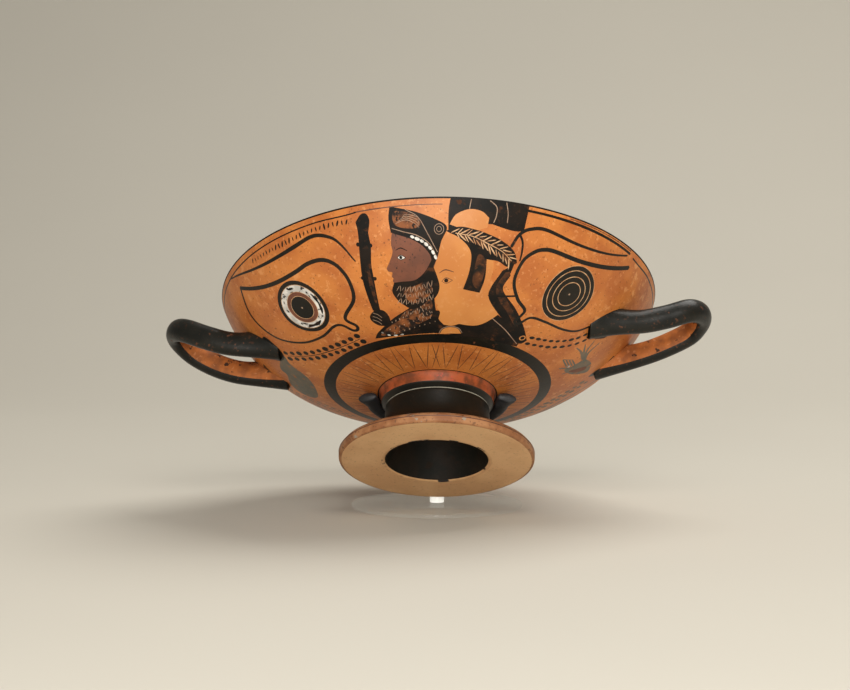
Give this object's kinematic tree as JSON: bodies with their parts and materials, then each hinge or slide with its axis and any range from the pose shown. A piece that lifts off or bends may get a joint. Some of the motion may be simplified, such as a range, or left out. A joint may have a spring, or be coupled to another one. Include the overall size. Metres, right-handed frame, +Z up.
{
  "type": "kylix cup on a display stand",
  "caption": "Painted clay drinking cup (kylix) with a wide shallow bowl, loop handles and a low hollow foot, leaning back in a black cradle on a clear rod and disc.",
  "frame": {"origin": "centre of the underside of the stand's round foot, on the rod's axis", "axes": "+Z up, +X along the line through the cup's handles towards the right-hand handle, -Y towards the cup's painted front and the hollow of its foot"},
  "size_m": [0.3752, 0.2608, 0.2188],
  "materials": {
    "painted_clay": "burnished orange clay with glossy black slip painting, red and white touches",
    "black_cover": "satin black padding over metal",
    "clear_acrylic": "clear polished acrylic"
  },
  "bodies": {
    "root": {"kylix": "painted_clay", "stand_cradle": "black_cover", "stand_rod": "clear_acrylic", "stand_foot": "clear_acrylic"}
  },
  "joints": []
}
